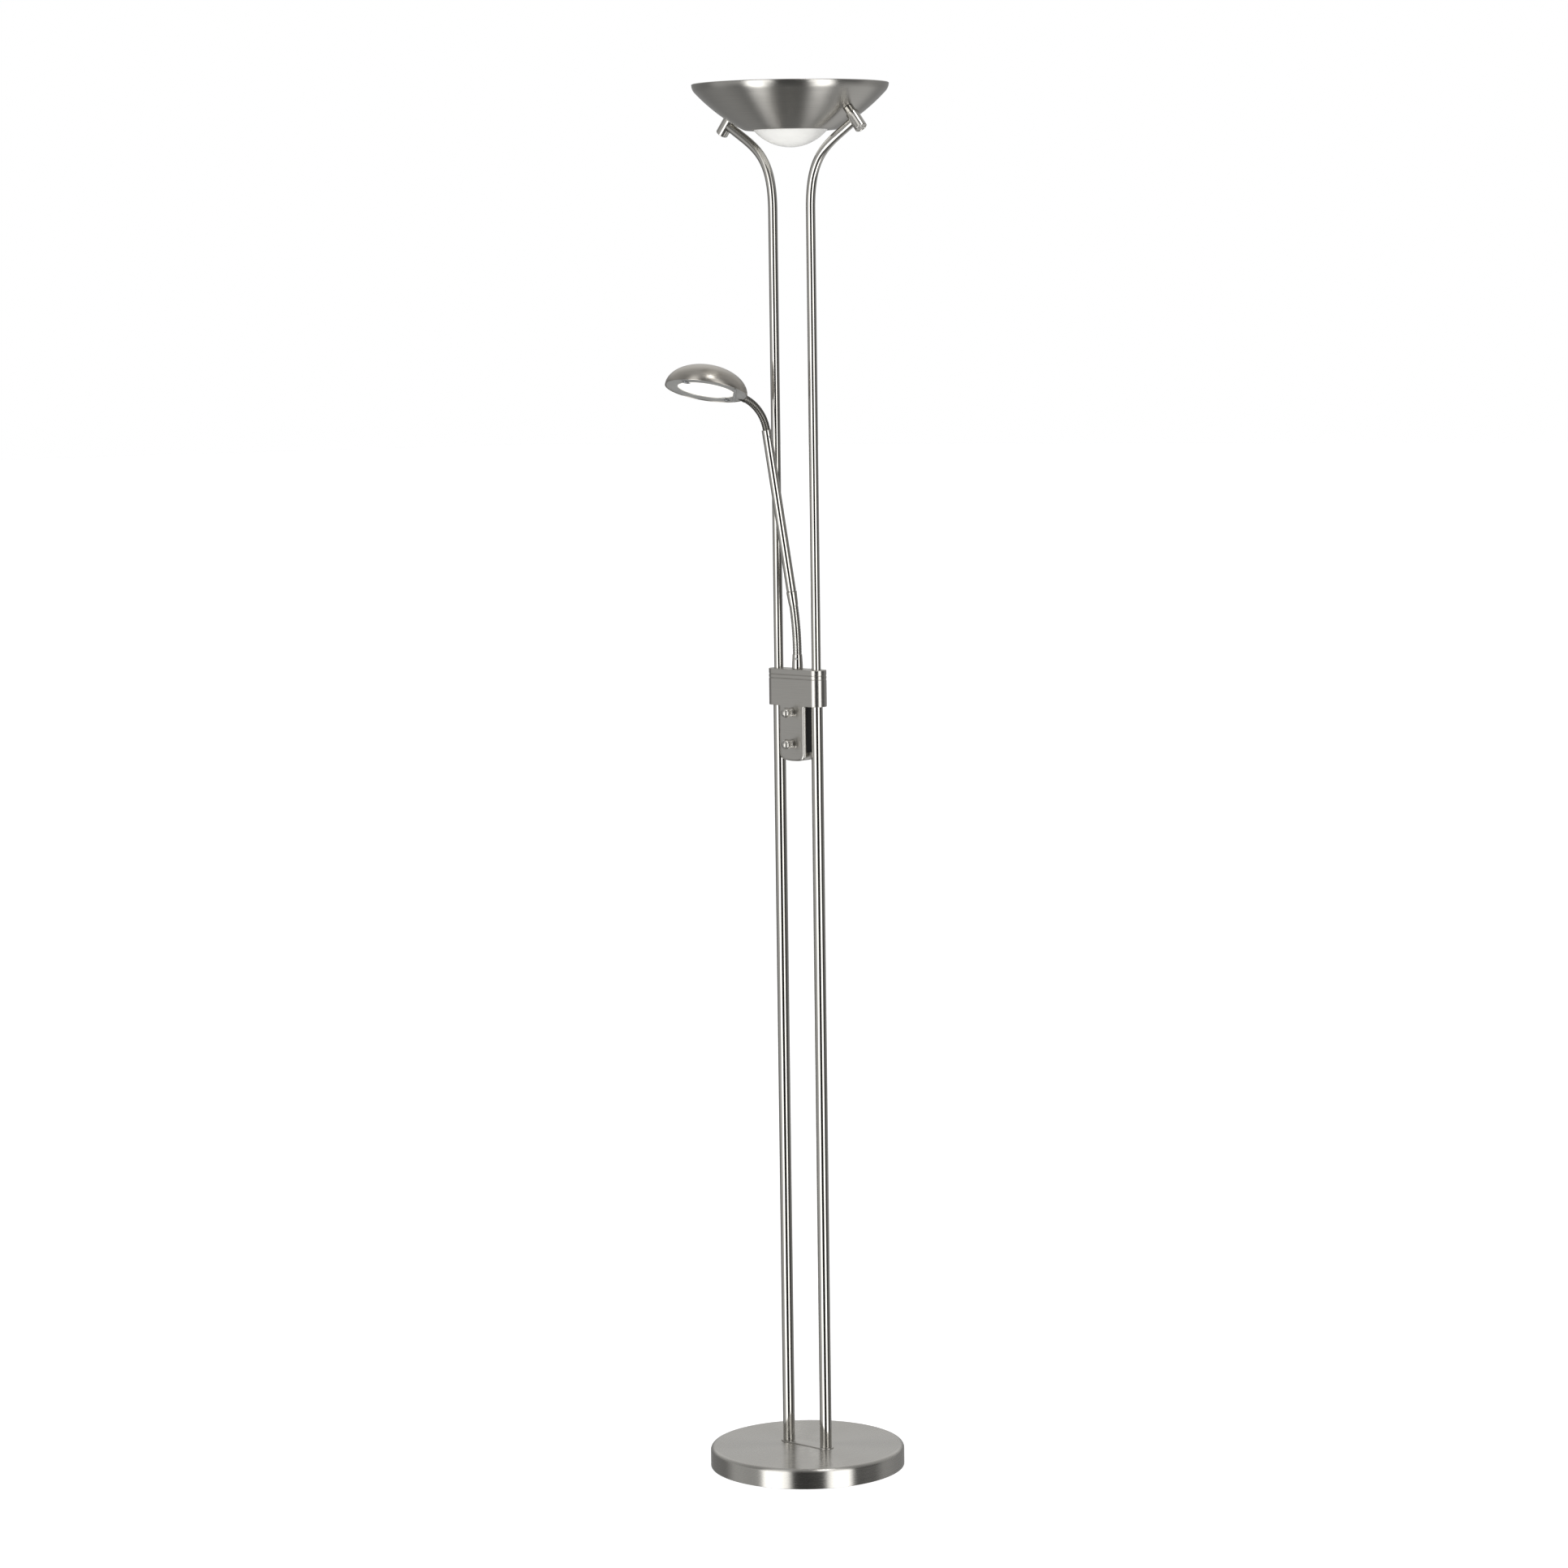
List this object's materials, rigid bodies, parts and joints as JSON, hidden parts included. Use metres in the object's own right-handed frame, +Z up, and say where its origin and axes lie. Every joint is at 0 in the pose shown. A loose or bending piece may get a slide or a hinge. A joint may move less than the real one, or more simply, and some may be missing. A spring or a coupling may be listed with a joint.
{
  "type": "torchiere floor lamp",
  "caption": "Torchiere floor lamp with twin poles, an uplighter bowl with a glass dish, a dimmer collar and a reading head on a flexible arm.",
  "frame": {"origin": "centre of the round base on the floor", "axes": "+Z up; +X from the left pole to the right pole; the dimmer knobs face -Y"},
  "size_m": [0.255, 0.2933, 1.8],
  "materials": {
    "brushed_nickel": "satin brushed nickel plate",
    "zinc_steel": "bright zinc plate",
    "hose_steel": "nickel-plated interlocked hose",
    "base_iron": "rough black paint",
    "black_rubber": "matt black",
    "black_plastic": "fine moulded texture",
    "grey_ring": "flat light grey",
    "frosted_glass": "white frosted glass",
    "lamp_glass": "clear quartz",
    "white_ceramic": "unglazed",
    "bright_aluminium": "bright anodised"
  },
  "bodies": {
    "stand": {"base_pad": "black_rubber", "base_weight": "base_iron", "base_cover": "brushed_nickel", "cord_inlet_grommet": "black_rubber", "foot_plate": "zinc_steel", "collar_front_shell": "brushed_nickel", "collar_rear_shell": "brushed_nickel", "collar_clamp_plate": "zinc_steel", "collar_screw": "zinc_steel", "dimmer_box": "black_plastic", "pole_lead": "black_rubber", "bowl_shell": "brushed_nickel", "glass_dish": "frosted_glass", "lamp_bridge": "zinc_steel", "linear_lamp": "lamp_glass", "arm_socket": "brushed_nickel", "socket_screw": "zinc_steel", "dimmer_pot_upper": "black_plastic", "dimmer_pot_lower": "black_plastic", "pole_bolt_left": "zinc_steel", "lower_pole_left": "brushed_nickel", "upper_pole_left": "brushed_nickel", "bowl_spacer_left": "brushed_nickel", "bowl_bolt_left": "zinc_steel", "bowl_knob_left": "brushed_nickel", "lampholder_left": "white_ceramic", "pole_bolt_right": "zinc_steel", "lower_pole_right": "brushed_nickel", "upper_pole_right": "brushed_nickel", "bowl_spacer_right": "brushed_nickel", "bowl_bolt_right": "zinc_steel", "bowl_knob_right": "brushed_nickel", "lampholder_right": "white_ceramic"},
    "lower_flex_1": {"lower_flex_1": "hose_steel"},
    "lower_flex_2": {"lower_flex_2": "hose_steel"},
    "lower_flex_3": {"lower_flex_3": "hose_steel"},
    "lower_flex_4": {"lower_flex_4": "hose_steel"},
    "lower_flex_5": {"lower_flex_5": "hose_steel"},
    "arm": {"arm_ferrule": "brushed_nickel", "arm_tube": "brushed_nickel", "arm_tube_screw": "zinc_steel"},
    "upper_flex_1": {"upper_flex_1": "hose_steel"},
    "upper_flex_2": {"upper_flex_2": "hose_steel"},
    "upper_flex_3": {"upper_flex_3": "hose_steel"},
    "upper_flex_4": {"upper_flex_4": "hose_steel"},
    "upper_flex_5": {"upper_flex_5": "hose_steel"},
    "head": {"head_neck": "brushed_nickel", "head_shade": "brushed_nickel", "head_bezel": "grey_ring", "head_bar": "grey_ring", "head_glass": "frosted_glass", "head_reflector": "bright_aluminium", "head_lampholder": "white_ceramic", "head_lamp": "lamp_glass", "head_clip_front": "zinc_steel", "head_clip_rear": "zinc_steel"},
    "dimmer_upper": {"dimmer_shaft_upper": "zinc_steel", "dimmer_knob_upper": "brushed_nickel"},
    "dimmer_lower": {"dimmer_shaft_lower": "zinc_steel", "dimmer_knob_lower": "brushed_nickel"}
  },
  "joints": [
    {"name": "lower_hose_bend", "type": "hinge", "parent": "stand", "child": "lower_flex_1", "pos_m": [0, 0, 1.0719], "axis": [0.9135, -0.4067, 0], "range_deg": [-2, 14]},
    {"name": "lower_hose_side", "type": "hinge", "parent": "lower_flex_1", "child": "lower_flex_2", "pos_m": [-0.00007, -0.00016, 1.08436], "axis": [-0.4066, -0.9132, -0.028], "range_deg": [-12, 1.5]},
    {"name": "lower_hose_bend_2", "type": "hinge", "parent": "lower_flex_2", "child": "lower_flex_3", "pos_m": [-0.00028, -0.00064, 1.09681], "axis": [0.9135, -0.4067, 0], "range_deg": [-2, 14]},
    {"name": "lower_hose_side_2", "type": "hinge", "parent": "lower_flex_3", "child": "lower_flex_4", "pos_m": [-0.00064, -0.00144, 1.10924], "axis": [-0.4053, -0.9103, -0.084], "range_deg": [-12, 1.5]},
    {"name": "lower_hose_bend_3", "type": "hinge", "parent": "lower_flex_4", "child": "lower_flex_5", "pos_m": [-0.00113, -0.00255, 1.12164], "axis": [0.9135, -0.4067, 0], "range_deg": [-2, 14]},
    {"name": "lower_hose_side_3", "type": "hinge", "parent": "lower_flex_5", "child": "arm", "pos_m": [-0.00177, -0.00398, 1.134], "axis": [-0.4027, -0.9046, -0.1397], "range_deg": [-12, 1.5]},
    {"name": "upper_hose_bend", "type": "hinge", "parent": "arm", "child": "upper_flex_1", "pos_m": [-0.01605, -0.03606, 1.3608], "axis": [0.9135, -0.4067, 0], "range_deg": [-10, 8]},
    {"name": "upper_hose_side", "type": "hinge", "parent": "upper_flex_1", "child": "upper_flex_2", "pos_m": [-0.01702, -0.03823, 1.3704], "axis": [-0.3844, -0.8634, -0.3269], "range_deg": [-9, 9]},
    {"name": "upper_hose_bend_2", "type": "hinge", "parent": "upper_flex_2", "child": "upper_flex_3", "pos_m": [-0.01867, -0.04194, 1.37943], "axis": [0.9135, -0.4067, 0], "range_deg": [-10, 8]},
    {"name": "upper_hose_side_2", "type": "hinge", "parent": "upper_flex_3", "child": "upper_flex_4", "pos_m": [-0.02095, -0.04706, 1.38758], "axis": [-0.3132, -0.7035, -0.638], "range_deg": [-9, 9]},
    {"name": "upper_hose_bend_3", "type": "hinge", "parent": "upper_flex_4", "child": "upper_flex_5", "pos_m": [-0.02379, -0.05343, 1.3946], "axis": [0.9135, -0.4067, 0], "range_deg": [-10, 8]},
    {"name": "upper_hose_side_3", "type": "hinge", "parent": "upper_flex_5", "child": "head", "pos_m": [-0.02709, -0.06084, 1.40027], "axis": [-0.2021, -0.4539, -0.8678], "range_deg": [-9, 9]},
    {"name": "dimmer_upper_turn", "type": "hinge", "parent": "stand", "child": "dimmer_upper", "pos_m": [0, -0.0124, 0.997], "axis": [0, -1, 0], "range_deg": [0, 270]},
    {"name": "dimmer_lower_turn", "type": "hinge", "parent": "stand", "child": "dimmer_lower", "pos_m": [0, -0.0124, 0.956], "axis": [0, -1, 0], "range_deg": [0, 270]}
  ],
  "couplings": [
    {"joint": "lower_hose_bend_2", "follows": "lower_hose_bend", "ratio": 1},
    {"joint": "lower_hose_side_2", "follows": "lower_hose_side", "ratio": 1},
    {"joint": "lower_hose_bend_3", "follows": "lower_hose_bend", "ratio": 1},
    {"joint": "lower_hose_side_3", "follows": "lower_hose_side", "ratio": 1},
    {"joint": "upper_hose_bend_2", "follows": "upper_hose_bend", "ratio": 1},
    {"joint": "upper_hose_side_2", "follows": "upper_hose_side", "ratio": 1},
    {"joint": "upper_hose_bend_3", "follows": "upper_hose_bend", "ratio": 1},
    {"joint": "upper_hose_side_3", "follows": "upper_hose_side", "ratio": 1}
  ]
}
